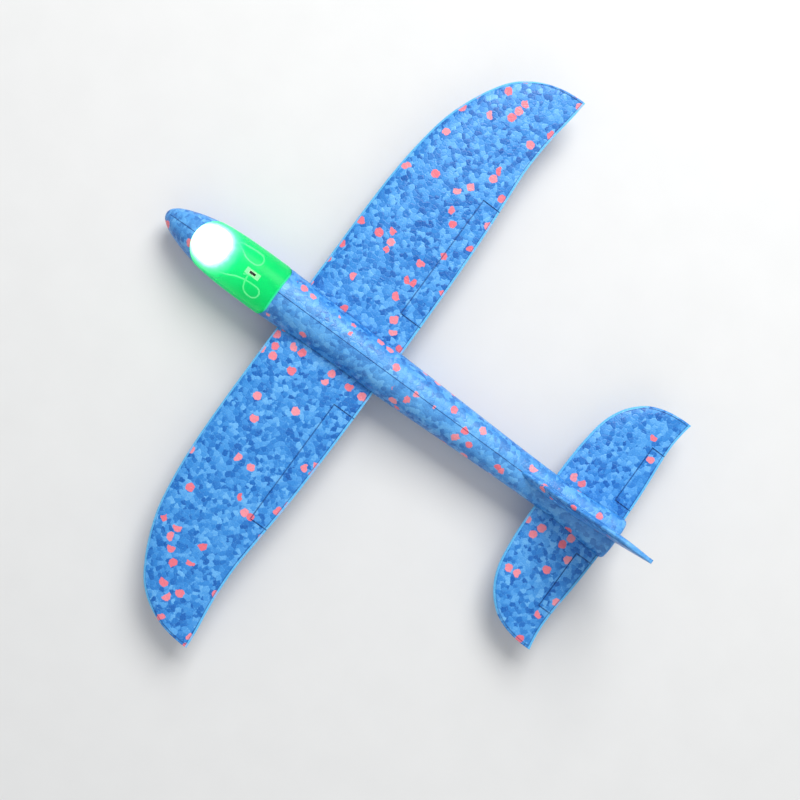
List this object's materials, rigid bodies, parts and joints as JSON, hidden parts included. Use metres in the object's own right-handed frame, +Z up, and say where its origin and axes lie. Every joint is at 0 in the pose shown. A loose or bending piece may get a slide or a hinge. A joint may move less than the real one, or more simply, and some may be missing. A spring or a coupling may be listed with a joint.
{
  "type": "foam hand-launch glider",
  "caption": "Hand-thrown bead-foam glider with slide-in wing and tailplane, a moulded fin and a lift-out lamp unit under a clear green canopy.",
  "frame": {"origin": "under the middle of the overall box, in the plane of the belly's flat", "axes": "+X towards the nose, +Y along the port half of the wing, +Z up"},
  "size_m": [0.408, 0.48, 0.1042],
  "materials": {
    "blue_foam_body": "bead foam",
    "blue_foam_wing": "bead foam",
    "blue_foam_tail": "bead foam",
    "clear_green_canopy": "clear gloss",
    "green_tray": "gloss",
    "green_door": "satin",
    "screw_steel": "bright",
    "cell_steel": "satin",
    "contact_plating": "tinned",
    "board": "satin",
    "lamp_lit": "lit",
    "black_resin": "gloss",
    "switch_plating": "plated",
    "switch_board": "matte",
    "black_plastic": "satin",
    "wire_skin": "gloss"
  },
  "bodies": {
    "fuselage_body": {"fuselage": "blue_foam_body"},
    "wing_body": {"main_wing": "blue_foam_wing"},
    "tail_body": {"tailplane": "blue_foam_tail"},
    "light_unit": {"canopy_shell": "clear_green_canopy", "unit_tray": "green_tray", "battery_door": "green_door", "door_screw": "screw_steel", "button_cell_1": "cell_steel", "button_cell_2": "cell_steel", "button_cell_3": "cell_steel", "plate_contact": "contact_plating", "spring_contact": "contact_plating", "circuit_board": "board", "lamp": "lamp_lit", "lamp_legs": "contact_plating", "flasher_chip": "black_resin", "switch_shell": "switch_plating", "switch_base": "switch_board", "switch_pins": "contact_plating", "battery_wire": "wire_skin", "switch_wire": "wire_skin", "supply_wire": "wire_skin"},
    "slider_body": {"switch_slider": "black_plastic"}
  },
  "joints": [
    {"name": "wing_slide", "type": "slide", "parent": "fuselage_body", "child": "wing_body", "axis": [0, 1, 0], "range_m": [-0.262, 0.262]},
    {"name": "tailplane_slide", "type": "slide", "parent": "fuselage_body", "child": "tail_body", "axis": [0, 1, 0], "range_m": [-0.118, 0.118]},
    {"name": "light_unit_lift", "type": "slide", "parent": "fuselage_body", "child": "light_unit", "axis": [0, 0, 1], "range_m": [0, 0.045]},
    {"name": "switch_slide", "type": "slide", "parent": "light_unit", "child": "slider_body", "axis": [-1, 0, 0], "range_m": [0, 0.002]}
  ]
}
